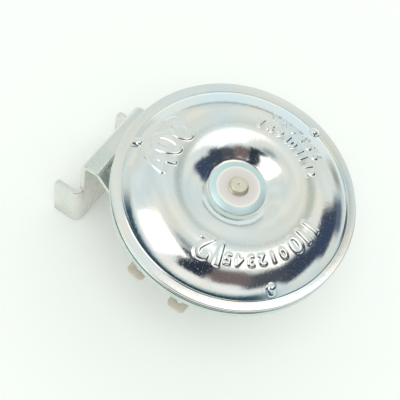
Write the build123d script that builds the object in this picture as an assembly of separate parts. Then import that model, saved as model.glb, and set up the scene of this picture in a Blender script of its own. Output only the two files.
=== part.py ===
from build123d import *
import os
from math import cos, radians, sin, tan

# Electric disc horn, 80 mm. Everything is drawn on the horn's axis (Z), with z = 0 on the face of
# the tone disc's rim. The last section shifts it, so that the centre of the bracket's bolt hole,
# on the outer face of the wall, is the origin. Millimetres.

# ---------------------------------------------------------------- driving dimensions

# tone disc: flat rim, steep flank, one round dome, and a flat sunk centre
disc_r = 40.0
disc_sheet = 1.0
rim_width = 3.1             # flat rim, in to the foot of the flank
foot_bend = 1.5
flank_slope = 45.0          # degrees, at the foot
bowl_slope = 36.0           # degrees, where the bowl meets the flat centre
centre_h = 2.2              # flat centre above the rim
centre_margin = 0.4         # flat centre beyond the washer
centre_bend = 0.8
bump_angles = (-38.5, 76.0, 193.0)
bump_r = 1.6
bump_length = 3.2

# centre pin, the washer on the disc and the sleeve under it
shaft_r = 2.75
shaft_head_margin = 1.75    # the shaft's foot beyond the shaft
shaft_head_sheet = 1.0
shaft_chamfer = 0.35
shaft_upset = 0.5           # collar spread on the washer by riveting
shaft_proud = 1.5           # riveted end above the washer
washer_r = 9.3
washer_top_r = 7.0
washer_sheet = 1.1
spacer_r = 7.0

# closed rim: rolled ring, diaphragm, gasket and housing flange
disc_gap = 1.4              # air between the tone disc and the rolled ring
ring_proud = 0.1            # rolled ring beyond the tone disc
ring_sheet = 0.8
ring_lip = 1.9              # width of the lip under the housing's flange
ring_inside = 0.4           # rolled ring's top edge inside the housing's wall
ring_bend = 1.2
diaphragm_sheet = 0.4
diaphragm_bends = (6.0, 1.6, 1.2, 1.6)      # from the edge inwards, the third one in the groove
groove_share = 0.62         # the diaphragm's ring groove, of the pan's radius
groove_half = 2.0
groove_depth = 0.5
diaphragm_dip = 1.0      # the diaphragm's centre lies this far under its rim
gasket_sheet = 0.6

# housing: a shallow pan with a cup behind it
housing_sheet = 1.2
flange_width = 3.7          # ring's outside to the pan's wall
pan_depth = 6.8
shelf_width = 8.9           # the pan's wall to the cup's wall
cup_depth = 18.8
draft = 0.8              # each wall leans in by this much over its height
bend_r = 1.6

# magnet: armature on the shaft, core on the housing's floor, coil between
armature_r = 7.0
armature_length = 7.0
collar_r = 12.0
collar_sheet = 1.6
air_gap = 0.8            # armature to core
core_foot_r = 10.0
core_foot = 1.6
coil_washer_sheet = 0.6
bobbin_share = 0.6          # of the cup's radius
bobbin_wall = 0.9
bobbin_flange = 1.2
winding_step = 0.8          # winding inside the bobbin's edge
bobbin_top_gap = 1.2     # bobbin to the lower breaker arm

# breaker: two arms riveted on the pan's shelf, on the +X side
stack_from_cup = 1.9        # the stack's nearest edge beyond the cup's wall
stack_from_pan = 2.8        # its furthest edge inside the pan's wall
stack_width = 10.0
insulator_sheet = 1.0
arm_gap = 1.6            # between the two arms
fixed_arm_sheet = 0.8
moving_arm_sheet = 0.3
arm_width = 6.4
contact_r = 1.9
button_r = 1.2
button_play = 0.3        # button to the armature's collar
stack_rivet_r = 1.1
stack_rivet_out = 0.4       # rivets beyond the quarters of the stack's width
tube_wall = 0.6             # insulating tube round each rivet
rivet_head = 0.8            # height of a rivet's head, and its reach beyond the shank
contact_inwards = 1.0       # contacts in from the middle between bobbin and cup
button_edge = 0.4           # button in from the collar's edge, and from the arm's tip
stem_proud = 0.4            # button's stem under its arm
contact_stem_proud = 0.3
screw_r = 1.95           # M4 adjusting screw
screw_proud = 2.6           # screw head behind the housing
screw_head_margin = 1.3
screw_slot = 1.0            # width and depth of its slot
bush_wall = 1.6
bush_height = 4.0

# terminals: 6.3 x 0.8 blades through a moulded base, square to the bracket but for 3 degrees
terminal_angle = -93.0
blade_width = 6.3
blade_sheet = 0.8
blade_pitch = 16.4
blade_free = 8.0         # length of blade outside the base
blade_drop = 2.0         # blade under the pan's shelf
blade_hole_r = 0.9
blade_hole_in = 3.6         # hole in from the blade's tip
blade_corner = 1.2
blade_lead_in = 0.25
blade_inside = 4.5          # blade inside the cup's wall
neck_wall = 1.0             # moulding round a blade, through the cup's wall
neck_inside = 3.0
neck_outside = 0.4
base_corner_r = 2.0
base_proud = 3.5            # the base's outer face beyond the cup's wall
base_width = 32.0
base_height = 5.8
base_rivet_edge = 2.4       # rivets in from the base's ends and outer face
base_rivet_r = 1.25

# fixing stud M8, nut and lock washer
stud_r = 3.9
stud_proud = 1.0            # stud beyond the nut
stud_chamfer = 0.8
nut_flats = 13.0
nut_height = 6.5
nut_slope = 0.6             # rise of a nut's chamfer for each mm inwards
lock_r = 7.4
lock_sheet = 2.0
lock_split = 0.8
lock_skew = 20              # degrees, of the split

# bracket: a strap from the stud, up and over a saddle, and a wall with two lugs
strap_width = 30.8
strap_sheet = 2.0
root_out = 1.5              # the strap leaves the housing's back this far beyond the cup's wall
saddle_clear = 0.9          # the saddle's inner corner beyond the rolled ring
saddle_width = 7.4
saddle_in_z = -18.8         # inner and outer top corners of the saddle
saddle_out_z = -20.2
saddle_bend = 3.6
root_bend = 6.0
wall_lean = 4.8          # degrees; the wall's foot leans towards the horn
wall_height = 36.4
wall_width = 38.0
lug_height = 20.0
lug_reach = 8.6          # beyond the wall's outer face
lug_bend = 3.2
bolt_hole_r = 4.25
bolt_hole_up = 10.0      # above the wall's foot
lug_corner_r = 2.0

# leads inside the housing
lead_r = 0.4
lead_bend = 1.2

# clearances between pieces
slide_fit = 0.1          # turned pieces on a shaft or in a bore
loose_fit = 0.3          # pressed and moulded pieces
coil_fit = 0.6           # armature and core in the bobbin

# ---------------------------------------------------------------- levels along the axis

foot_r = disc_r - rim_width
centre_r = washer_r + centre_margin
ring_r = disc_r + ring_proud
pan_r = ring_r - flange_width
cup_r = pan_r - shelf_width
bobbin_r = bobbin_share * cup_r
contact_x = (bobbin_r + cup_r) / 2 - contact_inwards
stack_in = cup_r + stack_from_cup
stack_out = pan_r - stack_from_pan
base_face = cup_r + base_proud
root_x = -cup_r - root_out
saddle_in_x = -ring_r - saddle_clear
saddle_out_x = saddle_in_x - saddle_width

rim_top = -disc_sheet - disc_gap
diaphragm_top = rim_top - ring_sheet
gasket_top = diaphragm_top - diaphragm_sheet
flange_top = gasket_top - gasket_sheet
flange_under = flange_top - housing_sheet
ring_bottom = flange_under - ring_sheet
shelf_top = flange_top - pan_depth
shelf_under = shelf_top - housing_sheet
floor_top = shelf_top - cup_depth
back = floor_top - housing_sheet

centre_under = centre_h - disc_sheet
washer_top = centre_h + washer_sheet
spacer_foot = diaphragm_top - diaphragm_dip
collar_top = spacer_foot - diaphragm_sheet
collar_under = collar_top - collar_sheet
armature_foot = collar_under - armature_length
core_top = armature_foot - air_gap
coil_seat = floor_top + core_foot

fixed_arm_under = shelf_top + insulator_sheet
fixed_arm_top = fixed_arm_under + fixed_arm_sheet
moving_arm_under = fixed_arm_top + arm_gap
moving_arm_top = moving_arm_under + moving_arm_sheet
stack_top = moving_arm_top + insulator_sheet
contact_plane = (fixed_arm_top + moving_arm_under) / 2
bobbin_foot = coil_seat + coil_washer_sheet
bobbin_top = fixed_arm_under - bobbin_top_gap

strap_under = back - strap_sheet
nut_top = strap_under - lock_sheet
nut_under = nut_top - nut_height
stud_end = nut_under - stud_proud

edge_r = ring_r - ring_sheet - 1.5 * loose_fit      # everything that the rolled ring closes in
ring_lip_r = ring_r - ring_lip
bobbin_bore = armature_r + coil_fit
blade_top = shelf_under - blade_drop
blade_tip = base_face + blade_free


# ---------------------------------------------------------------- ways of making a piece

def turned(*points, radii=None):
    """Spin a closed section, given as (radius, z) points, round the axis."""
    outline = FilletPolyline(*points, radius=radii, close=True) if radii else Polyline(*points, close=True)
    return revolve(Plane.XZ * make_face(outline), Axis.Z)


def sheet_section(points, radii, sheet, side):
    """Section of a sheet: a path of straight runs and bends, thickened to one side."""
    path = FilletPolyline(*points, radius=radii)
    return Plane.XZ * make_face(offset(path, amount=sheet, side=side, kind=Kind.INTERSECTION))


def pressed(points, radii, sheet):
    """Round pressing. The path runs inwards along the upper face, with the sheet under it."""
    return revolve(sheet_section(points, radii, sheet, Side.LEFT), Axis.Z)


def plate(x0, x1, width, z0, z1):
    """Flat plate between x0 and x1, and between the levels z0 and z1, centred on y = 0."""
    box = Box(abs(x1 - x0), width, abs(z1 - z0))
    return Pos((x0 + x1) / 2, 0, (z0 + z1) / 2) * box


def rod(radius, z0, z1, x=0.0, y=0.0):
    return Pos(x, y, (z0 + z1) / 2) * Cylinder(radius, abs(z1 - z0))


def one(shape):
    """The single solid of a shape."""
    solids = shape.solids()
    return solids[0] if len(solids) == 1 else Compound(children=list(solids))


# ---------------------------------------------------------------- tone disc and centre

def disc_apex():
    """Point above the dome where the straight lines of the flank and of the bowl would meet."""
    flank = tan(radians(flank_slope))
    bowl = tan(radians(bowl_slope))
    apex_r = (foot_r * flank + centre_r * bowl - centre_h) / (flank + bowl)
    return apex_r, (foot_r - apex_r) * flank


def dome_bend():
    """Radius of the dome, as large as its two slopes leave room for."""
    apex_h = disc_apex()[1]
    flank_run = apex_h / sin(radians(flank_slope)) - foot_bend * tan(radians(flank_slope / 2))
    bowl_run = (apex_h - centre_h) / sin(radians(bowl_slope)) - centre_bend * tan(radians(bowl_slope / 2))
    return (min(flank_run, bowl_run) - slide_fit) / tan(radians((flank_slope + bowl_slope) / 2))


def make_tone_disc():
    path = ((disc_r, 0), (foot_r, 0), disc_apex(), (centre_r, centre_h), (shaft_r + slide_fit, centre_h))
    disc = pressed(path, (foot_bend, dome_bend(), centre_bend), disc_sheet)
    rib, dent = bump_and_dent()
    for angle in bump_angles:
        disc += Rot(0, 0, angle) * rib
    for angle in bump_angles:
        disc -= Rot(0, 0, angle) * dent
    return disc


def bump_and_dent():
    """One pressed rib through the foot of the flank, and the hollow behind it."""
    flank = Vector(-cos(radians(flank_slope)), 0, sin(radians(flank_slope)))
    start = Vector(foot_r - bump_r / 4, 0, bump_r / 4)
    end = start + flank * bump_length
    top = Vector(foot_r, 0, -disc_sheet * 0.7) + flank * (bump_length + 2 * bump_r)
    outside = foot_r + 2 * bump_r
    behind = Polyline((outside, -2 * bump_r), (outside, -disc_sheet / 2), (foot_r, -disc_sheet / 2),
                      (top.X, top.Z), (top.X, -2 * bump_r), close=True)
    behind = revolve(Plane.XZ * make_face(behind), Axis.Z)
    return capsule(start, end, bump_r) - behind, capsule(start, end, bump_r - disc_sheet * 0.8)


def capsule(start, end, radius):
    """Round-ended bar between two points."""
    length = (end - start).length
    bar = Plane(origin=start, z_dir=end - start) * (Pos(0, 0, length / 2) * Cylinder(radius, length))
    return bar + Pos(start) * Sphere(radius) + Pos(end) * Sphere(radius)


def make_disc_washer():
    step_r = washer_r - 0.5
    hole_r = shaft_r + slide_fit
    return turned((hole_r, centre_h), (washer_r, centre_h), (washer_r, centre_h + washer_sheet * 0.45),
                  (step_r, centre_h + washer_sheet * 0.6), (washer_top_r, washer_top),
                  (hole_r, washer_top))


def shaft_head_top():
    return armature_foot + shaft_head_sheet + 2 * slide_fit


def make_armature_shaft():
    head_r = shaft_r + shaft_head_margin
    tip = washer_top + shaft_proud
    pin = turned((0, shaft_head_top() - shaft_head_sheet), (head_r, shaft_head_top() - shaft_head_sheet),
                 (head_r, shaft_head_top()), (shaft_r, shaft_head_top()), (shaft_r, washer_top),
                 (shaft_r + shaft_upset, washer_top), (shaft_r, washer_top + shaft_upset),
                 (shaft_r, tip - shaft_chamfer), (shaft_r - shaft_chamfer, tip), (0, tip))
    centre_mark = Pos(0, 0, tip) * Cone(0.0, shaft_upset, shaft_upset)
    return pin - centre_mark


def make_spacer():
    bore = shaft_r + slide_fit
    return turned((bore, spacer_foot), (spacer_r, spacer_foot), (spacer_r, centre_under),
                  (bore, centre_under))


# ---------------------------------------------------------------- closed rim

def make_rim_ring():
    path = ((pan_r - ring_inside, rim_top), (ring_r, rim_top), (ring_r, ring_bottom), (ring_lip_r, ring_bottom))
    return revolve(sheet_section(path, (ring_bend, ring_bend), ring_sheet, Side.RIGHT), Axis.Z)


def make_diaphragm():
    low = spacer_foot
    groove_r = groove_share * pan_r
    path = ((edge_r, diaphragm_top), (pan_r - groove_half, diaphragm_top),
            (groove_r + groove_half, low + groove_depth / 2), (groove_r, low - groove_depth),
            (groove_r - groove_half, low), (shaft_r + slide_fit, low))
    return pressed(path, diaphragm_bends, diaphragm_sheet)


def make_rim_gasket():
    inner = pan_r + bend_r
    return rod(edge_r, flange_top, gasket_top) - rod(inner, flange_top, gasket_top)


# ---------------------------------------------------------------- housing

def make_housing():
    cup_foot_r = cup_r - draft
    path = ((edge_r, flange_top), (pan_r, flange_top), (pan_r - draft, shelf_top), (cup_r, shelf_top),
            (cup_foot_r, floor_top), (stud_r + loose_fit, floor_top))
    shell = pressed(path, (bend_r, bend_r, bend_r, bend_r), housing_sheet)
    shell -= rod(screw_r + loose_fit, back, floor_top, contact_x)
    for y in stack_rivet_rows():
        shell -= rod(stack_rivet_r + slide_fit, shelf_under, shelf_top, stack_middle(), y)
    shell -= at_terminals(base_windows() + base_rivet_holes(shelf_under, shelf_top))
    return shell


# ---------------------------------------------------------------- magnet

def make_armature():
    head_r = shaft_r + shaft_head_margin + slide_fit
    bore = shaft_r + slide_fit
    return turned((bore, collar_top), (collar_r, collar_top), (collar_r, collar_under),
                  (armature_r, collar_under), (armature_r, armature_foot), (head_r, armature_foot),
                  (head_r, shaft_head_top()), (bore, shaft_head_top()))


def make_core_stud():
    return turned((0, core_top), (armature_r, core_top), (armature_r, coil_seat),
                  (core_foot_r, coil_seat), (core_foot_r, floor_top), (stud_r, floor_top),
                  (stud_r, stud_end + stud_chamfer), (stud_r - stud_chamfer, stud_end), (0, stud_end))


def make_coil_washer():
    return rod(bobbin_r, coil_seat, bobbin_foot) - rod(armature_r + slide_fit, coil_seat, bobbin_foot)


def make_coil_bobbin():
    drum_r = bobbin_bore + bobbin_wall
    low = bobbin_foot + bobbin_flange
    high = bobbin_top - bobbin_flange
    return turned((bobbin_bore, bobbin_foot), (bobbin_r, bobbin_foot), (bobbin_r, low), (drum_r, low),
                  (drum_r, high), (bobbin_r, high), (bobbin_r, bobbin_top), (bobbin_bore, bobbin_top))


def winding_r():
    return bobbin_r - winding_step


def make_coil_winding():
    low = bobbin_foot + bobbin_flange
    high = bobbin_top - bobbin_flange
    return rod(winding_r(), low, high) - rod(bobbin_bore + bobbin_wall, low, high)


# ---------------------------------------------------------------- breaker

def stack_middle():
    return (stack_in + stack_out) / 2


def stack_rivet_rows():
    row = stack_width / 4 + stack_rivet_out
    return (-row, row)


def arm(tip_x, z0, z1):
    """Breaker arm: a wide root with two clearance holes and a narrower tongue with a round tip."""
    root = plate(stack_in, stack_out, stack_width, z0, z1)
    tongue = plate(tip_x + arm_width / 2, stack_in + 0.5, arm_width, z0, z1)
    tip = rod(arm_width / 2, z0, z1, tip_x + arm_width / 2)
    blank = root + tongue + tip
    for y in stack_rivet_rows():
        blank -= rod(collar_tube_r() + slide_fit, z0, z1, stack_middle(), y)
    return blank


def collar_tube_r():
    return stack_rivet_r + tube_wall


def make_arm_insulators():
    """Lower plate with two tubes that keep the arms off the rivets, and a middle and an upper plate."""
    lower = plate(stack_in, stack_out, stack_width, shelf_top, fixed_arm_under)
    middle = plate(stack_in, stack_out, stack_width, fixed_arm_top, moving_arm_under)
    upper = plate(stack_in, stack_out, stack_width, moving_arm_top, stack_top)
    for y in stack_rivet_rows():
        lower += rod(collar_tube_r(), fixed_arm_under, stack_top, stack_middle(), y)
        lower -= rod(stack_rivet_r + slide_fit / 2, shelf_top, stack_top, stack_middle(), y)
        middle -= rod(collar_tube_r() + slide_fit / 2, fixed_arm_top, moving_arm_under, stack_middle(), y)
        upper -= rod(collar_tube_r() + slide_fit / 2, moving_arm_top, stack_top, stack_middle(), y)
    return Compound(children=[one(lower), one(middle), one(upper)])


def rivet(radius, z0, z1, x, y):
    """Rivet with a flat head at each end; z0 and z1 are the faces that it holds."""
    head_r = radius + rivet_head
    return (rod(radius, z0, z1, x, y) + rod(head_r, z0 - rivet_head, z0, x, y)
            + rod(head_r, z1, z1 + rivet_head, x, y))


def make_stack_rivets():
    x = stack_middle()
    return Compound(children=[one(rivet(stack_rivet_r, shelf_under, stack_top, x, y))
                              for y in stack_rivet_rows()])


def make_fixed_arm():
    tongue = arm(contact_x - arm_width / 2, fixed_arm_under, fixed_arm_top)
    return tongue - rod(contact_r / 2 + slide_fit / 2, fixed_arm_under, fixed_arm_top, contact_x)


def make_fixed_contact():
    return (rod(contact_r, fixed_arm_top, contact_plane, contact_x)
            + rod(contact_r / 2, fixed_arm_under, fixed_arm_top, contact_x))


def button_x():
    return collar_r - button_r - button_edge


def make_moving_arm():
    tongue = arm(button_x() - button_r - button_edge, moving_arm_under, moving_arm_top)
    tongue -= rod(contact_r / 2 + slide_fit / 2, moving_arm_under, moving_arm_top, contact_x)
    return tongue - rod(button_r / 2 + slide_fit / 2, moving_arm_under, moving_arm_top, button_x())


def make_moving_contact():
    return (rod(contact_r, contact_plane, moving_arm_under, contact_x)
            + rod(contact_r / 2, moving_arm_under, moving_arm_top + contact_stem_proud, contact_x))


def make_arm_button():
    return (rod(button_r, moving_arm_top, collar_under - button_play, button_x())
            + rod(button_r / 2, moving_arm_under - stem_proud, moving_arm_top, button_x()))


def make_adjusting_screw():
    head_r = screw_r + screw_head_margin
    slot = Box(screw_slot, 4 * head_r, 2 * screw_slot)
    body = rod(screw_r, back - slide_fit, fixed_arm_under, contact_x)
    head = rod(head_r, back - slide_fit - screw_proud, back - slide_fit, contact_x)
    return body + head - Pos(contact_x, 0, back - slide_fit - screw_proud) * slot


def make_screw_bush():
    bush_r = screw_r + bush_wall
    return (rod(bush_r, floor_top, floor_top + bush_height, contact_x)
            - rod(screw_r + slide_fit, floor_top, floor_top + bush_height, contact_x))


# ---------------------------------------------------------------- terminals

def at_terminals(shape):
    """Turn a piece drawn on the -Y side to the terminals' side."""
    return Rot(0, 0, terminal_angle + 90) * shape


def blade_rows():
    return (-blade_pitch / 2, blade_pitch / 2)


def neck(x, fit):
    """The base's neck round one blade, through the cup's wall."""
    width = blade_width + 2 * (neck_wall + fit)
    height = blade_sheet + 2 * (neck_wall + fit)
    z = blade_top - blade_sheet / 2
    inner = cup_r - neck_inside
    outer = cup_r + housing_sheet + neck_outside
    return Pos(x, -(inner + outer) / 2, z) * Box(width, outer - inner, height)


def base_windows():
    left, right = blade_rows()
    return neck(left, loose_fit / 2) + neck(right, loose_fit / 2)


def base_rivet_places():
    x = base_width / 2 - base_rivet_edge
    y = -(base_face - base_rivet_edge)
    return ((-x, y), (x, y))


def base_rivet_holes(z0, z1):
    (xa, ya), (xb, yb) = base_rivet_places()
    radius = base_rivet_r + slide_fit / 2
    return rod(radius, z0, z1, xa, ya) + rod(radius, z0, z1, xb, yb)


def blade_slot(x, fit):
    z = blade_top - blade_sheet / 2
    return Pos(x, -base_face / 2, z) * Box(blade_width + 2 * fit, base_face, blade_sheet + 2 * fit)


def make_terminal_base():
    low = shelf_under - base_height
    block = Pos(0, -base_face / 2, (low + shelf_under) / 2) * Box(base_width, base_face, base_height)
    block = fillet(block.edges().filter_by(Axis.Z).sort_by(Axis.Y)[:2], base_corner_r)
    block -= rod(cup_r + bend_r, low, shelf_under)
    for x in blade_rows():
        block += neck(x, 0)
    for x in blade_rows():
        block -= blade_slot(x, slide_fit / 2)
    block -= base_rivet_holes(low, shelf_under)
    return at_terminals(block)


def make_blade(x):
    inner = blade_inner()
    length = blade_tip - inner
    z = blade_top - blade_sheet / 2
    blade = Pos(x, -(inner + blade_tip) / 2, z) * Box(blade_width, length, blade_sheet)
    corners = blade.edges().filter_by(Axis.Z).group_by(Axis.Y)[0]
    blade = chamfer(corners, blade_corner)
    lip = blade.edges().filter_by(Axis.X).group_by(Axis.Y)[0]
    blade = chamfer(lip, blade_lead_in)
    blade -= rod(blade_hole_r, z - blade_sheet, z + blade_sheet, x, -(blade_tip - blade_hole_in))
    return at_terminals(blade)


def make_base_rivets():
    low = shelf_under - base_height
    places = base_rivet_places()
    return Compound(children=[one(at_terminals(rivet(base_rivet_r, low, shelf_top, x, y)))
                              for x, y in places])


# ---------------------------------------------------------------- bracket, nut and washer

def wall_plane():
    """Frame of the wall: x along its outer normal, y across, z up the wall, origin at its foot."""
    lean = radians(wall_lean)
    foot_x = saddle_out_x + wall_height * sin(lean)
    foot_z = saddle_out_z - wall_height * cos(lean)
    return Plane(origin=(foot_x, 0, foot_z), x_dir=(-cos(lean), 0, -sin(lean)),
                 z_dir=(-sin(lean), 0, cos(lean)))


def make_bracket():
    wall = wall_plane()
    foot = wall.origin
    half = wall_width / 2
    # the strap, from the stud out to the foot of the wall, drawn on its outer face
    path = ((0, back), (root_x, back), (saddle_in_x, saddle_in_z), (saddle_out_x, saddle_out_z),
            (foot.X, foot.Z))
    section = sheet_section(path, (root_bend, saddle_bend, saddle_bend), strap_sheet, Side.LEFT)
    strap = extrude(section, strap_width / 2, both=True)
    strap += rod(strap_width / 2, strap_under, back)
    strap -= rod(stud_r + loose_fit, strap_under, back)
    # the wall's foot and its two lugs: a channel, folded away from the horn at both sides
    run = FilletPolyline((lug_reach, -half), (-strap_sheet, -half), (-strap_sheet, half),
                         (lug_reach, half), radius=(lug_bend, lug_bend))
    channel = make_face(offset(run, amount=strap_sheet, side=Side.RIGHT, kind=Kind.INTERSECTION))
    channel = extrude(wall * channel, lug_height)
    corner_edges = channel.edges().filter_by(Axis.Y).group_by(Axis.X)[0]
    channel = fillet(corner_edges, lug_corner_r)
    hole = Plane(origin=wall.origin + wall.z_dir * bolt_hole_up, z_dir=wall.x_dir)
    return strap + channel - hole * Cylinder(bolt_hole_r, 3 * strap_sheet)


def make_lock_washer():
    """Split spring washer."""
    ring = rod(lock_r, strap_under - lock_sheet, strap_under)
    ring -= rod(stud_r + slide_fit * 2, strap_under - lock_sheet, strap_under)
    split = Box(2 * lock_r, lock_split, 3 * lock_sheet)
    return ring - Pos(0, lock_r, strap_under) * Rot(0, lock_skew, 90) * split


def make_fixing_nut():
    nut = Pos(0, 0, nut_under) * extrude(RegularPolygon(nut_flats / 2, 6, major_radius=False), nut_height)
    face_r = nut_flats / 2
    point_r = face_r / cos(radians(30)) + slide_fit
    rise = (point_r - face_r) * nut_slope
    round_off = turned((0, nut_under), (face_r, nut_under), (point_r, nut_under + rise),
                       (point_r, nut_top - rise), (face_r, nut_top), (0, nut_top))
    return (nut & round_off) - rod(stud_r + slide_fit, nut_under, nut_top)


# ---------------------------------------------------------------- leads

def lead(*points):
    """Stiff enamelled wire through the points."""
    path = FilletPolyline(*points, radius=lead_bend) if len(points) > 2 else Line(*points)
    return sweep(Plane(path @ 0, z_dir=path % 0) * Circle(lead_r), path)


def blade_inner():
    return cup_r - blade_inside


def make_coil_lead():
    x = blade_rows()[0]
    start = -(winding_r() ** 2 - (abs(x) - lead_r) ** 2) ** 0.5 - slide_fit
    z = blade_top - blade_sheet / 2
    return at_terminals(lead((x, start, z), (x, -blade_inner(), z)))


def make_fixed_arm_lead():
    side = -(screw_r + lead_r + 2.0)
    start = (winding_r() ** 2 - (abs(side) - lead_r) ** 2) ** 0.5 + slide_fit
    low = bobbin_top - bobbin_flange - 1.5
    end_x = contact_x + screw_r + 1.6
    end_y = -arm_width / 2 + 0.9
    return lead((start, side, low), (end_x, side, low), (end_x, end_y, low + 2.0),
                (end_x, end_y, fixed_arm_under))


def make_moving_arm_lead():
    z = (moving_arm_under + moving_arm_top) / 2
    over_shelf = shelf_top + 1.6
    end = at_terminals(Pos(blade_rows()[1], -blade_inner() - 0.8, blade_top)).position
    turn = (cup_r - 2.6) * cos(radians(60)), -(cup_r - 2.6) * sin(radians(60))
    return lead((stack_middle(), -stack_width / 2, z), (stack_middle(), -stack_width / 2 - 2.5, z),
                (stack_in, -stack_width - 3.5, over_shelf),
                ((cup_r + 1) * cos(radians(45)), -(cup_r + 1) * sin(radians(45)), over_shelf),
                (*turn, over_shelf - 1.0), (end.X, end.Y, blade_top + 2.2), (end.X, end.Y, blade_top))


# ---------------------------------------------------------------- pieces

parts = {
    "tone_disc": make_tone_disc(),
    "disc_washer": make_disc_washer(),
    "armature_shaft": make_armature_shaft(),
    "spacer": make_spacer(),
    "rim_ring": make_rim_ring(),
    "diaphragm": make_diaphragm(),
    "rim_gasket": make_rim_gasket(),
    "housing": make_housing(),
    "armature": make_armature(),
    "core_stud": make_core_stud(),
    "coil_washer": make_coil_washer(),
    "coil_bobbin": make_coil_bobbin(),
    "coil_winding": make_coil_winding(),
    "arm_insulators": make_arm_insulators(),
    "stack_rivets": make_stack_rivets(),
    "fixed_arm": make_fixed_arm(),
    "fixed_contact": make_fixed_contact(),
    "moving_arm": make_moving_arm(),
    "moving_contact": make_moving_contact(),
    "arm_button": make_arm_button(),
    "adjusting_screw": make_adjusting_screw(),
    "screw_bush": make_screw_bush(),
    "terminal_base": make_terminal_base(),
    "base_rivets": make_base_rivets(),
    "terminal_left": make_blade(blade_rows()[0]),
    "terminal_right": make_blade(blade_rows()[1]),
    "coil_lead": make_coil_lead(),
    "fixed_arm_lead": make_fixed_arm_lead(),
    "moving_arm_lead": make_moving_arm_lead(),
    "bracket": make_bracket(),
    "lock_washer": make_lock_washer(),
    "fixing_nut": make_fixing_nut(),
}

bolt_hole = wall_plane().origin + wall_plane().z_dir * bolt_hole_up
os.makedirs("parts", exist_ok=True)
for name, piece in parts.items():
    export_step(Pos(-bolt_hole.X, 0, -bolt_hole.Z) * piece, f"parts/{name}.step")
print("horn axis at x", round(-bolt_hole.X, 3), "and the disc's rim at z", round(-bolt_hole.Z, 3))
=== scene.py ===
from math import atan2, cos, hypot, pi, radians, remainder, sin, tan

import bmesh
import bpy
from mathutils import Matrix, Vector
from mathutils.bvhtree import BVHTree


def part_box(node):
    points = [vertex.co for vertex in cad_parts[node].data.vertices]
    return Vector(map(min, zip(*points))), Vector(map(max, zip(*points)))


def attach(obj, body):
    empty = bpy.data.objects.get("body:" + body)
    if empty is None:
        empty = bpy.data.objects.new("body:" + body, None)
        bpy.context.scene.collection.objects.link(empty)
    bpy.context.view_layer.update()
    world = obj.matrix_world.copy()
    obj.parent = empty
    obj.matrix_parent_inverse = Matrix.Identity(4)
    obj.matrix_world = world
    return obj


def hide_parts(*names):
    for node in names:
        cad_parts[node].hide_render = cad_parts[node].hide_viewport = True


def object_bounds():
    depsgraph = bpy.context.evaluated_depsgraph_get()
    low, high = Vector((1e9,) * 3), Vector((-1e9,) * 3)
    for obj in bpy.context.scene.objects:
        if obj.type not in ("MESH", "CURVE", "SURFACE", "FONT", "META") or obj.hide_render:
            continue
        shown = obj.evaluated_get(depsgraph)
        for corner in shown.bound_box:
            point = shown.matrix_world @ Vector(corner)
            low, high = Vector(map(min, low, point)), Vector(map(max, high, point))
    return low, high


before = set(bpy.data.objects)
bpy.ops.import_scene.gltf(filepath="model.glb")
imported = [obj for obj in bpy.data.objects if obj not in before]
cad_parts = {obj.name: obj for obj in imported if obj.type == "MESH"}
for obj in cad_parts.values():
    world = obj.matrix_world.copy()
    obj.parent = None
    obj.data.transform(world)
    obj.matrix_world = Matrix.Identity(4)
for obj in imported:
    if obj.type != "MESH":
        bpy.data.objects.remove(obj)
cad_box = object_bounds()


# ---------------------------------------------------------------- bench, camera and light
# The horn lies on a white bench, seen from above. The room is pale all round, with a bright window to one
# side, a lamp overhead and dark cupboards behind the viewer: the plated steel mirrors all of it.

scene = bpy.context.scene
scene.view_settings.view_transform = "Standard"

camera_place = (0.0693, -0.1469, 0.3165)
camera_turn, camera_lean, camera_roll = 12.5, 27.418, 24.972
camera = bpy.data.objects.new("camera", bpy.data.cameras.new("camera"))
camera.data.lens = 87.09
camera.matrix_world = (Matrix.Translation(camera_place) @ Matrix.Rotation(radians(camera_turn), 4, "Z")
                       @ Matrix.Rotation(radians(camera_lean), 4, "X")
                       @ Matrix.Rotation(radians(camera_roll), 4, "Z"))
scene.collection.objects.link(camera)
scene.camera = camera


def linear(hex_colour):
    """sRGB hex to a linear colour with alpha."""
    channels = [int(hex_colour[i:i + 2], 16) / 255 for i in (0, 2, 4)]
    return tuple(c / 12.92 if c <= 0.04045 else ((c + 0.055) / 1.055) ** 2.4 for c in channels) + (1.0,)


def join(tree, node, **inputs):
    """Feed a node's inputs with values, sockets or nodes. An input goes by its name or, where several share
    it, by i and its number: a Mix node's colours are i6 and i7."""
    for key, source in inputs.items():
        numbered = key[0] == "i" and key[1:].isdigit()
        socket = node.inputs[int(key[1:]) if numbered else key.replace("_", " ")]
        if isinstance(source, bpy.types.Node):
            source = source.outputs[0]
        if isinstance(source, bpy.types.NodeSocket):
            tree.links.new(source, socket)
        else:
            socket.default_value = source


def add(tree, kind, settings=None, stops=(), **inputs):
    """Add a node. Settings are its properties, stops a ramp's colours, and inputs are as join takes them."""
    made = tree.nodes.new(kind)
    for key, value in (settings or {}).items():
        setattr(made, key, value)
    for number, (spot, shade) in enumerate(stops):
        stop = made.color_ramp.elements[number] if number < 2 else made.color_ramp.elements.new(spot)
        stop.position = spot
        stop.color = linear(shade)
    join(tree, made, **inputs)
    return made


def material(name):
    """A new material with its node tree, its Principled shader and the Object coordinates."""
    made = bpy.data.materials.new(name)
    made.use_nodes = True
    tree = made.node_tree
    shader = tree.nodes["Principled BSDF"]
    place = tree.nodes.new("ShaderNodeTexCoord").outputs["Object"]
    return made, tree, shader, place


world = bpy.data.worlds.new("room")
scene.world = world
world.use_nodes = True
room = world.node_tree
room.nodes.clear()
ray = room.nodes.new("ShaderNodeLightPath")
way = room.nodes.new("ShaderNodeTexCoord").outputs["Generated"]
parts = add(room, "ShaderNodeSeparateXYZ", Vector=way)

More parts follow.
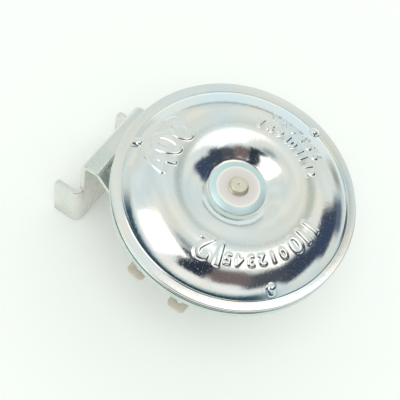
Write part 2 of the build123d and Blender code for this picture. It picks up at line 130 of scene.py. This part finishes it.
# The walls by level, from 0 straight down to 1 overhead. The far side is pale, and the near side has a dark
# band of shelves between a blue-grey floor and a white ceiling.
level = add(room, "ShaderNodeMapRange", Value=parts.outputs["Z"], From_Min=-1.0, From_Max=1.0)
far_wall = add(room, "ShaderNodeValToRGB", Fac=level,
               stops=((0.0, "DAE9EE"), (0.52, "DAE9EE"), (0.54, "E6ECEA"), (1.0, "EEF2EF")))
near_wall = add(room, "ShaderNodeValToRGB", Fac=level,
                stops=((0.0, "BCD6E2"), (0.49, "BCD6E2"), (0.53, "2F4856"), (0.685, "35505F"),
                       (0.715, "C3D6DA"), (0.75, "FFFFFF")))
nearness = add(room, "ShaderNodeMapRange", {"interpolation_type": "SMOOTHSTEP"}, Value=parts.outputs["Y"],
               From_Min=-0.15, From_Max=-0.5)
sky = add(room, "ShaderNodeMix", {"data_type": "RGBA"}, i0=nearness, i6=far_wall, i7=near_wall).outputs[2]

# Faint patches break the walls up, so that the plate doesn't mirror a flat tint.
cloud = add(room, "ShaderNodeTexNoise", Vector=way, Scale=4.0, Detail=3.0)
cloud = add(room, "ShaderNodeValToRGB", Fac=cloud, stops=((0.38, "E4EAEA"), (0.62, "FFFFFF")))
sky = add(room, "ShaderNodeMix", {"data_type": "RGBA", "blend_type": "MULTIPLY"}, i0=0.6, i6=sky,
          i7=cloud).outputs[2]


def card(sky, turn, tip, half_tip, half_turn, soft, shade, power=1.0):
    """Hang a plain card in the room, turned from +X and tipped down from overhead. Angles in degrees."""
    local = add(room, "ShaderNodeVectorRotate", {"rotation_type": "EULER_XYZ", "invert": True}, Vector=way,
                Rotation=(0.0, radians(tip), radians(turn)))
    local = add(room, "ShaderNodeSeparateXYZ", Vector=local)
    share = add(room, "ShaderNodeMath", {"operation": "GREATER_THAN"}, i0=local.outputs["Z"], i1=0.0)
    for across, half in (("X", half_tip), ("Y", half_turn)):
        slope = add(room, "ShaderNodeMath", {"operation": "DIVIDE"}, i0=local.outputs[across],
                    i1=local.outputs["Z"])
        slope = add(room, "ShaderNodeMath", {"operation": "ABSOLUTE"}, i0=slope)
        edge = add(room, "ShaderNodeMapRange", {"interpolation_type": "SMOOTHSTEP"}, Value=slope,
                   From_Min=tan(radians(half + soft)), From_Max=tan(radians(half - soft)))
        share = add(room, "ShaderNodeMath", {"operation": "MULTIPLY"}, i0=share, i1=edge)
    paint = tuple(power * c for c in linear(shade)[:3]) + (1.0,)
    return add(room, "ShaderNodeMix", {"data_type": "RGBA"}, i0=share, i6=sky, i7=paint).outputs[2]


# What stands round the bench: turn, tip, half height, half width, soft edge, colour, and a light's power.
for thing in ((108, 90, 20, 26, 4, "7F8B8A"),        # frame of the low far window
              (112, 90, 17, 36, 2.5, "E8F5F8"),      # its pane
              (68, 88, 8, 5, 5, "A3A596"),           # wooden post beside it
              (50, 79, 11, 9, 4, "5F6C83"),          # shaded side of the cupboards
              (40, 60, 15, 15, 3, "3A4862"),         # four cupboards in a rising row, the last one brown
              (11, 49, 15, 15, 3, "3A4557"),
              (-16, 41, 12, 15, 4, "4C525B"),
              (-45, 32, 12, 13, 4, "77696A"),
              (-84, 28, 16, 10, 2, "243040"),        # the viewer, against the light
              (86, 33, 5, 6, 4, "BAC4C1"),           # two ceiling fittings
              (-135, 9, 4, 6, 4, "8E99A2"),
              (40, 18, 13, 14, 3, "FFFFFF", 1.3),    # lamp overhead
              (227, 37, 19, 15, 2, "FFFFFF", 1.5)):  # bright window
    sky = card(sky, *thing)

# Only what is mirrored shows the room, and the light on matt surfaces is an even grey.
even_light = (0.76, 0.775, 0.76, 1.0)
sky = add(room, "ShaderNodeMix", {"data_type": "RGBA"}, i0=ray.outputs["Is Glossy Ray"], i6=even_light, i7=sky)
glow = add(room, "ShaderNodeBackground", Color=sky.outputs[2], Strength=1.0)
add(room, "ShaderNodeOutputWorld", Surface=glow)

lamp = bpy.data.objects.new("lamp", bpy.data.lights.new("lamp", "SUN"))
lamp.data.energy = 1.0
lamp.data.angle = radians(40)
lamp.rotation_euler = (radians(20), 0, radians(10))
lamp.visible_glossy = False
scene.collection.objects.link(lamp)

bench_half = 0.27
bench_gap = 0.0001
bench_mesh = bmesh.new()
bmesh.ops.create_grid(bench_mesh, x_segments=1, y_segments=1, size=bench_half)
bmesh.ops.translate(bench_mesh, verts=bench_mesh.verts, vec=(0, 0, cad_box[0].z - bench_gap))
bench = bpy.data.objects.new("bench", bpy.data.meshes.new("bench"))
bench_mesh.to_mesh(bench.data)
bench_mesh.free()
scene.collection.objects.link(bench)
# white laminate: plain and matt
bench_paint, tree, shader, place = material("white_laminate")
join(tree, shader, Base_Color=linear("F7FBF7"), Roughness=0.6)
bench.data.materials.append(bench_paint)


# ---------------------------------------------------------------- tone disc
# Dished steel disc that rings above the diaphragm. It is pressed from 1 mm sheet and bright zinc plated,
# which leaves a mirror with faint cream and blue clouds. Three ribs cross the foot of its flank, and its
# places for stamping carry plain figures.

sheet = 1.0
disc_low, disc_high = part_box("tone_disc")
axis_x = (disc_low.x + disc_high.x) / 2
rim_z = disc_low.z + sheet / 1000


def size_of(node):
    """Radius, foot and top of a turned CAD piece in mm, from the horn's axis and the top of the disc's rim."""
    low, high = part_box(node)
    return (high.x - axis_x) * 1000, (low.z - rim_z) * 1000, (high.z - rim_z) * 1000


def lathe(outline, steps, closed=False):
    """Spin an outline round the horn's axis. A point is (radius, height, bend radius) in mm, and where wanted
    the number of segments in its bend."""
    shape = bmesh.new()
    verts = [shape.verts.new((axis_x + r / 1000, 0, rim_z + z / 1000)) for r, z, *bend in outline]
    for a, b in zip(verts, verts[1:] + ([verts[0]] if closed else [])):
        shape.edges.new((a, b))
    for number, (r, z, bend, *segments) in enumerate(outline):
        if bend:
            here = Vector((r, z))
            before = Vector(outline[number - 1][:2]) - here
            after = Vector(outline[(number + 1) % len(outline)][:2]) - here
            reach = bend / 1000 / tan(before.angle(after) / 2)
            bmesh.ops.bevel(shape, geom=[verts[number]], offset=reach, offset_type="OFFSET", affect="VERTICES",
                            segments=segments[0] if segments else 3 + int(3 * bend), profile=0.5, material=-1)
    bmesh.ops.spin(shape, geom=shape.verts[:] + shape.edges[:], cent=(axis_x, 0, 0), axis=(0, 0, 1),
                   dvec=(0, 0, 0), angle=2 * pi, steps=steps, use_merge=True)
    bmesh.ops.remove_doubles(shape, verts=shape.verts, dist=1e-7)
    bmesh.ops.recalc_face_normals(shape, faces=shape.faces)
    return shape


def place_piece(shape, name, body, paint, stands_for, crease=35):
    """Turn a bmesh into a finished piece that rides on its body in place of its CAD node."""
    mesh = bpy.data.meshes.new(name)
    shape.to_mesh(mesh)
    shape.free()
    mesh.shade_smooth()
    mesh.set_sharp_from_angle(angle=radians(crease))
    piece = bpy.data.objects.new(name, mesh)
    scene.collection.objects.link(piece)
    mesh.materials.append(paint)
    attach(piece, body)
    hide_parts(stands_for)


def stamp(shape, figures, turn, middle_r, size, rise=0.27, soft=0.7):
    """Press plain figures up through the sheet, with their tops outwards. Sizes in mm, turn in degrees."""
    line = bpy.data.curves.new("figures", "FONT")
    line.body = figures
    line.size = size
    line.align_x = "CENTER"
    line.align_y = "CENTER"
    letters = bpy.data.objects.new("figures", line)
    flat = bpy.data.meshes.new_from_object(letters)
    outline = BVHTree.FromPolygons([v.co for v in flat.vertices], [p.vertices for p in flat.polygons])
    half = max(v.co.x for v in flat.vertices) + soft
    faces_up = 0.3
    for vert in shape.verts:
        x, y = (vert.co.x - axis_x) * 1000, vert.co.y * 1000
        up = hypot(x, y) - middle_r
        along = -middle_r * remainder(atan2(y, x) - radians(turn), 2 * pi)
        if vert.normal.z > faces_up and abs(up) < size and abs(along) < half:
            gap = outline.find_nearest((along, up, 0))[3]
            share = max(0.0, 1 - gap / soft)
            vert.co += vert.normal * rise / 1000 * share * share * (3 - 2 * share)
    bpy.data.objects.remove(letters)
    bpy.data.curves.remove(line)
    bpy.data.meshes.remove(flat)


# A rib in mm: its flare as (radius, height) points, the round swelling inside it, how far the swelling's
# halves are drawn apart, where it sits on the flank, and the flank's slope there in degrees.
rib_flare = ((2.4, -0.12), (2.1, 0.02), (1.93, 0.14))
rib_r = 1.85
rib_foot = 0.1
rib_rise = 1.4
rib_stretch = 0.5
rib_seat_r = 35.0
rib_seat_z = 1.82
rib_slope = 41


def rib(shape, turn):
    """Add one pressed rib to a shape: a round-ended swelling on the foot of the flank, flared at its edge."""
    swelling = bmesh.new()
    profile = list(rib_flare)
    # a quarter of an ellipse from foot to crest
    quarter = 10
    for step in range(1, quarter + 1):
        angle = pi / 2 * step / quarter
        profile.append((rib_r * cos(angle), rib_foot + rib_rise * sin(angle)))
    verts = [swelling.verts.new((r / 1000, 0, z / 1000)) for r, z in profile]
    for a, b in zip(verts, verts[1:]):
        swelling.edges.new((a, b))
    bmesh.ops.spin(swelling, geom=swelling.verts[:] + swelling.edges[:], cent=(0, 0, 0), axis=(0, 0, 1),
                   dvec=(0, 0, 0), angle=2 * pi, steps=40, use_merge=True)
    bmesh.ops.remove_doubles(swelling, verts=swelling.verts, dist=1e-7)
    for vert in swelling.verts:
        if abs(vert.co.x) > 1e-6:
            vert.co.x += rib_stretch / 1000 if vert.co.x > 0 else -rib_stretch / 1000
    bmesh.ops.recalc_face_normals(swelling, faces=swelling.faces)
    swelling.transform(Matrix.Translation((axis_x, 0, rim_z)) @ Matrix.Rotation(radians(turn), 4, "Z")
                       @ Matrix.Translation((rib_seat_r / 1000, 0, rib_seat_z / 1000))
                       @ Matrix.Rotation(radians(rib_slope), 4, "Y"))
    mesh = bpy.data.meshes.new("rib")
    swelling.to_mesh(mesh)
    swelling.free()
    shape.from_mesh(mesh)
    bpy.data.meshes.remove(mesh)


# bright zinc plate: a mirror with faint warm and cold clouds, pin-prick specks, the sheet's fine ripple, and
# a grit that takes the edge off what it mirrors. Specks and grit are finer on real plate, and are drawn as
# coarse as they need to show.
cloud_mm = 18.18
ripple_mm = 3.846
grit_mm = 1.111
speck_mm = 0.3846
bright_zinc, tree, shader, place = material("bright_zinc_plate")
cloud = add(tree, "ShaderNodeTexNoise", Vector=place, Scale=1000 / cloud_mm, Detail=3.0)
tint = add(tree, "ShaderNodeValToRGB", Fac=cloud, stops=((0.35, "E8F0F2"), (0.65, "F5F0E6")))
grit = add(tree, "ShaderNodeTexNoise", Vector=place, Scale=1000 / grit_mm, Detail=4.0)
shine = add(tree, "ShaderNodeMapRange", Value=grit, To_Min=0.07, To_Max=0.15)
speck = add(tree, "ShaderNodeTexNoise", Vector=place, Scale=1000 / speck_mm, Detail=2.0)
speck = add(tree, "ShaderNodeMapRange", Value=speck, From_Min=0.62, From_Max=0.72, To_Max=0.22)
shine = add(tree, "ShaderNodeMath", {"operation": "ADD"}, i0=shine, i1=speck)
ripple = add(tree, "ShaderNodeTexNoise", Vector=place, Scale=1000 / ripple_mm, Detail=2.0)
ripple = add(tree, "ShaderNodeBump", Strength=0.25, Distance=0.04 / 1000, Height=ripple)
relief = add(tree, "ShaderNodeBump", Strength=0.5, Distance=0.03 / 1000, Height=grit, Normal=ripple)
join(tree, shader, Base_Color=tint, Metallic=1.0, Roughness=shine, Normal=relief)

disc_r = size_of("tone_disc")[0]
washer_r, seat_z, washer_top = size_of("disc_washer")
bore_r = 2.85
disc_outline = ((disc_r, -sheet, 0.3, 3), (disc_r, 0, 0.3, 4),         # edge of the flat rim
                (37.0, 0, 0.9, 8), (36.35, 0.85, 1.6, 8),              # bend and short steep step at the foot
                (24.18, 12.72, 19.8, 96),                              # flank and dome, in one round bend
                (9.7, seat_z, 2.6, 6), (bore_r, seat_z, 0),            # flat centre
                (bore_r, seat_z - sheet, 0),                           # bore for the shaft
                (10.02, seat_z - sheet, 0.3, 2),                       # back along the underside
                (24.18, 11.46, 19.2, 24), (36.49, -sheet, 2.5, 4))
disc_shape = lathe(disc_outline, steps=560, closed=True)
# each line of figures with its turn, middle radius and size, and where wanted its rise and soft edge
for line in (("400", 189, 25.6, 14.0, 0.3),
             ("1 2 3 4 5 6", 80, 27.8, 4.8, 0.28, 0.45),
             ("7 8 9 10 11 12", 78, 23.2, 4.4, 0.28, 0.45),
             ("12", 283, 25.0, 10.5),
             ("0 1 2 3 4 5", 315, 26.0, 4.6, 0.24, 0.45),
             ("110", 355, 25.4, 8.0)):
    stamp(disc_shape, *line)
for turn in (-38.5, 76, 193):
    rib(disc_shape, turn)
place_piece(disc_shape, "tone_disc_dressed", "vibrating_set", bright_zinc, "tone_disc")


# ---------------------------------------------------------------- washer on the disc
# Turned steel washer that the riveted shaft clamps on the disc. A blue-green passivation leaves its top a
# dull pinkish grey and its bevel a pale mint ring.

# green passivate and a painted highlight: tints that change with the radius, with edges that wander a little,
# over fine turning rings; the near-white band where the flat top turns into the bevel is a painted highlight
wander_mm = 2.381
ring_mm = 0.3
washer_paint, tree, shader, place = material("green_passivate")
radial = add(tree, "ShaderNodeMapping", Vector=place, Location=(-axis_x, 0, 0), Scale=(1, 1, 0))
radial = add(tree, "ShaderNodeVectorMath", {"operation": "LENGTH"}, i0=radial).outputs["Value"]
wander = add(tree, "ShaderNodeTexNoise", Vector=place, Scale=1000 / wander_mm, Detail=3.0)
wander = add(tree, "ShaderNodeMapRange", Value=wander, To_Min=-0.3 / 1000, To_Max=0.3 / 1000)
spread = add(tree, "ShaderNodeMath", {"operation": "ADD"}, i0=radial, i1=wander)
spread = add(tree, "ShaderNodeMapRange", Value=spread, From_Min=3.0 / 1000, From_Max=9.5 / 1000)
# the near-white stop at 0.6 paints a highlight on the flat top's edge; the other stops are the passivation's
# tints
tint = add(tree, "ShaderNodeValToRGB", Fac=spread,
           stops=((0.0, "E2DAD5"), (0.5, "ECE5E0"), (0.6, "FBFAF4"), (0.66, "CFE6E0"), (0.85, "D6ECEE"),
                  (1.0, "E4F4F8")))
rings = add(tree, "ShaderNodeMath", {"operation": "MULTIPLY"}, i0=radial, i1=2 * pi * 1000 / ring_mm)
rings = add(tree, "ShaderNodeMath", {"operation": "SINE"}, i0=rings)
relief = add(tree, "ShaderNodeBump", Strength=0.15, Distance=0.01 / 1000, Height=rings)
join(tree, shader, Base_Color=tint, Metallic=0.6, Roughness=0.36, Normal=relief)

washer_outline = ((bore_r, seat_z, 0), (washer_r, seat_z, 0.1), (washer_r, seat_z + 0.4, 0.1),
                  (7.2, washer_top, 0.2), (bore_r, washer_top, 0))
place_piece(lathe(washer_outline, steps=128, closed=True), "disc_washer_dressed", "vibrating_set",
            washer_paint, "disc_washer")


# ---------------------------------------------------------------- centre shaft
# Steel shaft through the armature, diaphragm, sleeve and disc. Its end is spun over the washer, which leaves
# a low collar and a centre mark. Its passivation is yellowish.

# yellow passivate: patchy pale straw on a rather dull and pitted end, with painted shade that makes it a
# little greyer and darker low down by the washer
stain_mm = 1.429
pit_mm = 0.3333
shaft_r, shaft_foot, shaft_top = size_of("armature_shaft")
shaft_paint, tree, shader, place = material("yellow_passivate")
# painted shade: the tint runs darker and greyer towards the washer at the shaft's foot, and patchy stains are
# added on top
height = add(tree, "ShaderNodeSeparateXYZ", Vector=place)
height = add(tree, "ShaderNodeMapRange", Value=height.outputs["Z"], From_Min=rim_z + washer_top / 1000,
             From_Max=rim_z + (shaft_top - 0.3) / 1000)
stain_and_shade = add(tree, "ShaderNodeTexNoise", Vector=place, Scale=1000 / stain_mm, Detail=3.0)
stain_and_shade = add(tree, "ShaderNodeMapRange", Value=stain_and_shade, To_Min=-0.35, To_Max=0.35)
stain_and_shade = add(tree, "ShaderNodeMath", {"operation": "ADD"}, i0=height, i1=stain_and_shade)
tint = add(tree, "ShaderNodeValToRGB", Fac=stain_and_shade, stops=((0.0, "D9D3C2"), (0.55, "E0D9C2"), (1.0, "E9E4D2")))
pits = add(tree, "ShaderNodeTexNoise", Vector=place, Scale=1000 / pit_mm, Detail=3.0)
shine = add(tree, "ShaderNodeMapRange", Value=pits, To_Min=0.24, To_Max=0.46)
relief = add(tree, "ShaderNodeBump", Strength=0.4, Distance=0.02 / 1000, Height=pits)
join(tree, shader, Base_Color=tint, Metallic=1.0, Roughness=shine, Normal=relief)

shank_r = 2.75
shoulder = shaft_foot + 1.0
shaft_outline = ((0, shaft_foot, 0), (shaft_r, shaft_foot, 0.15), (shaft_r, shoulder, 0),  # head at the foot
                 (shank_r, shoulder, 0), (shank_r, washer_top, 0),
                 (3.4, washer_top, 0), (3.35, washer_top + 0.3, 0.1),                      # collar
                 (2.85, washer_top + 0.45, 0.1),
                 (2.8, shaft_top - 0.2, 0.15), (2.5, shaft_top, 0.1),                      # riveted end
                 (0.5, shaft_top, 0.1), (0, shaft_top - 0.45, 0))                          # centre mark
place_piece(lathe(shaft_outline, steps=64), "armature_shaft_dressed", "vibrating_set", shaft_paint,
            "armature_shaft")


# ---------------------------------------------------------------- rolled ring
# Ring of thin zinc-plated strip, rolled over the edges of the diaphragm and the housing to close the horn.
# It shows as a thin pale mint band under the disc's edge.

# rolled zinc plate: softer than the disc, with streaks that the roller drew along the ring
patch_mm = 6.25
streak_along_mm = 8.333
streak_across_mm = 0.3846
ring_paint, tree, shader, place = material("rolled_zinc_plate")
patch = add(tree, "ShaderNodeTexNoise", Vector=place, Scale=1000 / patch_mm, Detail=3.0)
tint = add(tree, "ShaderNodeValToRGB", Fac=patch, stops=((0.3, "CBD8D2"), (0.7, "DCE0D8")))
streak = add(tree, "ShaderNodeMapping", Vector=place,
             Scale=(1000 / streak_along_mm, 1000 / streak_along_mm, 1000 / streak_across_mm))
streak = add(tree, "ShaderNodeTexNoise", Vector=streak, Scale=1.0, Detail=3.0)
shine = add(tree, "ShaderNodeMapRange", Value=streak, To_Min=0.14, To_Max=0.32)
relief = add(tree, "ShaderNodeBump", Strength=0.3, Distance=0.03 / 1000, Height=streak)
join(tree, shader, Base_Color=tint, Metallic=1.0, Roughness=shine, Normal=relief)

strip = 0.8
lip_r = 36.0
hem_r = 38.2
ring_r, ring_foot, ring_top = size_of("rim_ring")
ring_outline = ((lip_r, ring_top, 0.2), (ring_r, ring_top, 1.2), (ring_r, ring_foot, 1.2),
                (hem_r, ring_foot, 0.2), (hem_r, ring_foot + strip, 0.15),
                (ring_r - strip, ring_foot + strip, 0.4), (ring_r - strip, ring_top - strip, 0.4),
                (lip_r, ring_top - strip, 0.15))
place_piece(lathe(ring_outline, steps=192, closed=True), "rim_ring_dressed", "root", ring_paint,
            "rim_ring")


# ---------------------------------------------------------------- housing
# Deep-drawn steel pan with a smaller cup behind it, zinc plated to a satin. Its flange lies in the rolled
# ring, and holes are pierced for the stud, the adjusting screw, the rivets and the terminals.


def softened(node, width):
    """Copy of a CAD node's mesh, merged, with its sharp edges rounded by a width in mm and no slivers left."""
    sharp = radians(30)
    sliver = 4e-6
    shape = bmesh.new()
    shape.from_mesh(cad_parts[node].data)
    bmesh.ops.remove_doubles(shape, verts=shape.verts, dist=1e-6)
    bmesh.ops.dissolve_limit(shape, angle_limit=radians(0.5), verts=shape.verts, edges=shape.edges)
    shape.normal_update()
    edges = [e for e in shape.edges if len(e.link_faces) == 2 and e.calc_face_angle() > sharp]
    bmesh.ops.bevel(shape, geom=edges, offset=width / 1000, offset_type="OFFSET", affect="EDGES", segments=3,
                    profile=0.5, clamp_overlap=True, material=-1)
    bmesh.ops.triangulate(shape, faces=shape.faces, ngon_method="BEAUTY")
    bmesh.ops.remove_doubles(shape, verts=shape.verts, dist=sliver)
    bmesh.ops.dissolve_degenerate(shape, edges=shape.edges, dist=sliver)
    return shape


def metal(name, pale, deep, patch_mm, shiny, dull, grain_mm, depth_mm, stretch=(1, 1, 1), bare=1.0):
    """Plated or rolled metal: patches of two tints, and a grain of so much depth that dulls it in places. The
    grain is drawn as coarse as it needs to show."""
    made, tree, shader, place = material(name)
    patch = add(tree, "ShaderNodeTexNoise", Vector=place, Scale=1000 / patch_mm, Detail=3.0)
    tint = add(tree, "ShaderNodeValToRGB", Fac=patch, stops=((0.32, deep), (0.68, pale)))
    drawn = add(tree, "ShaderNodeMapping", Vector=place, Scale=stretch)
    grain = add(tree, "ShaderNodeTexNoise", Vector=drawn, Scale=1000 / grain_mm, Detail=4.0)
    shine = add(tree, "ShaderNodeMapRange", Value=grain, From_Min=0.3, From_Max=0.7, To_Min=shiny, To_Max=dull)
    relief = add(tree, "ShaderNodeBump", Strength=0.5, Distance=depth_mm / 1000, Height=grain)
    join(tree, shader, Base_Color=tint, Metallic=bare, Roughness=shine, Normal=relief)
    return made


# satin zinc on the drawn cup, with marks drawn along its walls by the die
housing_paint = metal("drawn_zinc_plate", "E0E5E1", "CFD6D2", patch_mm=11.11, shiny=0.24, dull=0.42,
                      grain_mm=2.0, depth_mm=0.02, stretch=(1, 1, 0.12))
place_piece(softened("housing", width=0.25), "housing_dressed", "root", housing_paint,
            "housing")


# ---------------------------------------------------------------- bracket
# Bent from 2 mm steel strip and zinc plated after bending: a strap on the stud, up and over a saddle, and a
# wall whose foot is folded into two lugs. The plate is pale and satin, slightly milky green.

# milky zinc plate: faint pink and green patches, and the strip's rolling marks along it
bracket_paint = metal("milky_zinc_plate", "F3EDE8", "DDE4DD", patch_mm=22.22, shiny=0.18, dull=0.34,
                      grain_mm=2.381, depth_mm=0.016, stretch=(0.25, 1, 0.25), bare=0.95)
place_piece(softened("bracket", width=0.3), "bracket_dressed", "root", bracket_paint,
            "bracket")


# ---------------------------------------------------------------- fixing stud, nut and lock washer
# The iron core runs out through the housing's floor as an M8 stud, which a plain nut on a split lock washer
# fixes to the strap. The stud's rolled thread is a helix of 1.25 mm pitch.

# turned iron: plain grey, with a fine grain from turning
core_paint = metal("turned_iron", "B9B9B5", "A3A49F", patch_mm=8.333, shiny=0.26, dull=0.42, grain_mm=0.4167,
                   depth_mm=0.01, stretch=(0.2, 0.2, 1))
pole_r = 7.0
flange_top = -28.2
flange_foot = -29.8
thread_r = 3.9
thread_top = -31.0
thread_depth = 0.65
pitch = 1.25
tip_r = 3.1
around = 96
rows_a_turn = 10
flange_r, stud_end, core_top = size_of("core_stud")
core_outline = ((0, core_top, 0), (pole_r, core_top, 0.3), (pole_r, flange_top, 0),
                (flange_r, flange_top, 0.2), (flange_r, flange_foot, 0), (thread_r, flange_foot, 0),
                (thread_r, thread_top, 0))
stud_shape = lathe(core_outline, steps=around)
rows = round((thread_top - stud_end) / pitch * rows_a_turn)
previous = None
for row in range(rows + 1):
    z = thread_top + (stud_end - thread_top) * row / rows
    ring = []
    for step in range(around):
        # crest and root are flat for a sixth of the pitch each, with a straight flank between them
        phase = (z / pitch + step / around) % 1
        groove = min(max(1.25 - 3 * abs(phase - 0.5), 0), 1)
        r = min(thread_r - thread_depth * groove, tip_r + (z - stud_end)) / 1000
        turn = 2 * pi * step / around
        ring.append(stud_shape.verts.new((axis_x + r * cos(turn), r * sin(turn), rim_z + z / 1000)))
    for step in range(around if previous else 0):
        stud_shape.faces.new((previous[step], previous[step - 1], ring[step - 1], ring[step]))
    previous = ring
stud_shape.faces.new(previous)
bmesh.ops.recalc_face_normals(stud_shape, faces=stud_shape.faces)
place_piece(stud_shape, "core_stud_dressed", "root", core_paint, "core_stud", crease=50)

# plated nut: a greyer zinc, blotched from the barrel that small parts are plated in
nut_paint = metal("zinc_plated_nut", "D4D8CF", "BFC5BC", patch_mm=6.667, shiny=0.2, dull=0.4,
                  grain_mm=0.8333, depth_mm=0.02)
place_piece(softened("fixing_nut", width=0.15), "fixing_nut_dressed", "root", nut_paint,
            "fixing_nut")
place_piece(softened("lock_washer", width=0.2), "lock_washer_dressed", "root", nut_paint,
            "lock_washer")


# ---------------------------------------------------------------- terminals
# Two 6.3 mm blades of tinned brass stand in a block of brown phenolic moulding, which two brass rivets hold
# under the pan. The tin has gone dull, so the blades are a matt beige grey.

# dull tin on brass: nearer to a matt paint than to bare metal, and streaked
blade_paint = metal("dull_tin_on_brass", "E9E0D1", "D6CDBD", patch_mm=3.846, shiny=0.34, dull=0.52,
                    grain_mm=0.5556, depth_mm=0.02, stretch=(1, 0.3, 1), bare=0.25)
for blade in ("terminal_left", "terminal_right"):
    place_piece(softened(blade, width=0.09), blade + "_dressed", "root", blade_paint, blade)

# brass under a thin worn tin: warmer where the rivet's head was struck
rivet_paint = metal("worn_tin_on_brass", "C9B98F", "A89A78", patch_mm=2.0, shiny=0.26, dull=0.45,
                    grain_mm=0.3846, depth_mm=0.02)
place_piece(softened("base_rivets", width=0.2), "base_rivets_dressed", "root", rivet_paint,
            "base_rivets")


def moulded(name, pale, deep, speck_mm, shiny, dull):
    """Moulded plastic: two close tints in specks, and a faintly uneven skin with swells four specks wide."""
    made, tree, shader, place = material(name)
    speck = add(tree, "ShaderNodeTexNoise", Vector=place, Scale=1000 / speck_mm, Detail=5.0)
    tint = add(tree, "ShaderNodeValToRGB", Fac=speck, stops=((0.38, deep), (0.62, pale)))
    skin = add(tree, "ShaderNodeTexNoise", Vector=place, Scale=1000 / (4 * speck_mm), Detail=2.0)
    shine = add(tree, "ShaderNodeMapRange", Value=skin, To_Min=shiny, To_Max=dull)
    relief = add(tree, "ShaderNodeBump", Strength=0.4, Distance=0.03 / 1000, Height=skin)
    join(tree, shader, Base_Color=tint, Roughness=shine, Normal=relief)
    return made


# dark brown phenolic with paler flecks of its wood-flour filler
phenolic_paint = moulded("phenolic_moulding", "3A2419", "20130D", speck_mm=0.4545, shiny=0.3, dull=0.5)
place_piece(softened("terminal_base", width=0.25), "terminal_base_dressed", "root", phenolic_paint,
            "terminal_base")


# ---------------------------------------------------------------- adjusting screw and its bush
# Slotted M4 screw behind the housing, which lifts the fixed breaker arm to set the note. It turns in a plain
# bush on the housing's floor, and both are plated like the nut.

place_piece(softened("adjusting_screw", width=0.15), "adjusting_screw_dressed", "root", nut_paint,
            "adjusting_screw")


def carry_over(paint, *nodes):
    """Give CAD nodes that keep their own mesh a material."""
    for node in nodes:
        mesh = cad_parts[node].data
        mesh.materials.clear()
        mesh.materials.append(paint)


carry_over(nut_paint, "screw_bush")


# ---------------------------------------------------------------- diaphragm and gasket
# Disc of thin rolled spring steel with one ring groove, which the armature drives and the tone disc stands on.
# It is clamped in the rolled ring on a gasket of waxed board.

# rolled spring steel: blue-grey, its grain all one way
spring_paint = metal("rolled_spring_steel", "AEB3B8", "979DA4", patch_mm=16.67, shiny=0.2, dull=0.34,
                     grain_mm=0.6667, depth_mm=0.01, stretch=(0.08, 1, 1))
carry_over(spring_paint, "diaphragm")

# waxed board: fibres that lie every way, and a dull face
fibre_mm = 0.7143
board_paint, tree, shader, place = material("waxed_board")
fibre = add(tree, "ShaderNodeTexNoise", Vector=place, Scale=1000 / fibre_mm, Detail=6.0, Distortion=1.5)
tint = add(tree, "ShaderNodeValToRGB", Fac=fibre, stops=((0.35, "6A5A3E"), (0.65, "8A7857")))
shine = add(tree, "ShaderNodeMapRange", Value=fibre, To_Min=0.6, To_Max=0.85)
relief = add(tree, "ShaderNodeBump", Strength=0.6, Distance=0.05 / 1000, Height=fibre)
join(tree, shader, Base_Color=tint, Roughness=shine, Normal=relief)
carry_over(board_paint, "rim_gasket", "coil_washer")


# ---------------------------------------------------------------- magnet
# Turned iron armature on the shaft, over a coil of enamelled copper wire on a nylon bobbin. A steel sleeve
# holds the disc away from the diaphragm.

carry_over(core_paint, "armature")
carry_over(nut_paint, "spacer")

# natural nylon, cream and faintly mottled
nylon_paint = moulded("natural_nylon", "DDD6C2", "D0C8B2", speck_mm=3.333, shiny=0.36, dull=0.5)
carry_over(nylon_paint, "coil_bobbin")

# wound copper: copper brown enamel, with a groove between one turn of wire and the next, painted dark brown
# as shade. At scale 1 a wave node runs through 20 radians a metre.
wire_mm = 0.5
varnish_mm = 2.857
winding_paint, tree, shader, place = material("wound_copper")
turns = add(tree, "ShaderNodeTexWave", {"bands_direction": "Z"}, Vector=place,
            Scale=2 * pi / 20 * 1000 / wire_mm, Distortion=0.4)
# the dark brown stop paints shade in the grooves between turns of wire
tint = add(tree, "ShaderNodeValToRGB", Fac=turns, stops=((0.1, "5A2A14"), (0.6, "B8683A")))
varnish = add(tree, "ShaderNodeTexNoise", Vector=place, Scale=1000 / varnish_mm)
shine = add(tree, "ShaderNodeMapRange", Value=varnish, To_Min=0.22, To_Max=0.4)
relief = add(tree, "ShaderNodeBump", Strength=0.8, Distance=0.2 / 1000, Height=turns)
join(tree, shader, Base_Color=tint, Metallic=1.0, Roughness=shine, Normal=relief)
carry_over(winding_paint, "coil_winding")


# ---------------------------------------------------------------- breaker
# Two arms riveted on the pan between plates of phenolic: a stiff tinned one and a springy steel one, each
# with a tungsten contact. The armature's collar presses the upper arm's button.

carry_over(blade_paint, "fixed_arm")
carry_over(spring_paint, "moving_arm")
carry_over(rivet_paint, "stack_rivets")
carry_over(phenolic_paint, "arm_insulators", "arm_button")

# sintered tungsten, dark, fine and matt
contact_paint = metal("sintered_tungsten", "8E8E8B", "747472", patch_mm=1.111, shiny=0.45, dull=0.62,
                      grain_mm=0.2, depth_mm=0.01)
carry_over(contact_paint, "fixed_contact", "moving_contact")


# ---------------------------------------------------------------- leads
# Stiff enamelled copper wire, bent by hand and soldered at its ends: one piece from the coil to a blade, one
# from the coil to the lower arm, and one from the upper arm to the other blade.

# reddish enamel, glossier in places
lead_paint = metal("enamelled_wire", "C07A48", "9C552C", patch_mm=2.5, shiny=0.18, dull=0.34,
                   grain_mm=0.6667, depth_mm=0.02)
carry_over(lead_paint, "coil_lead", "fixed_arm_lead", "moving_arm_lead")
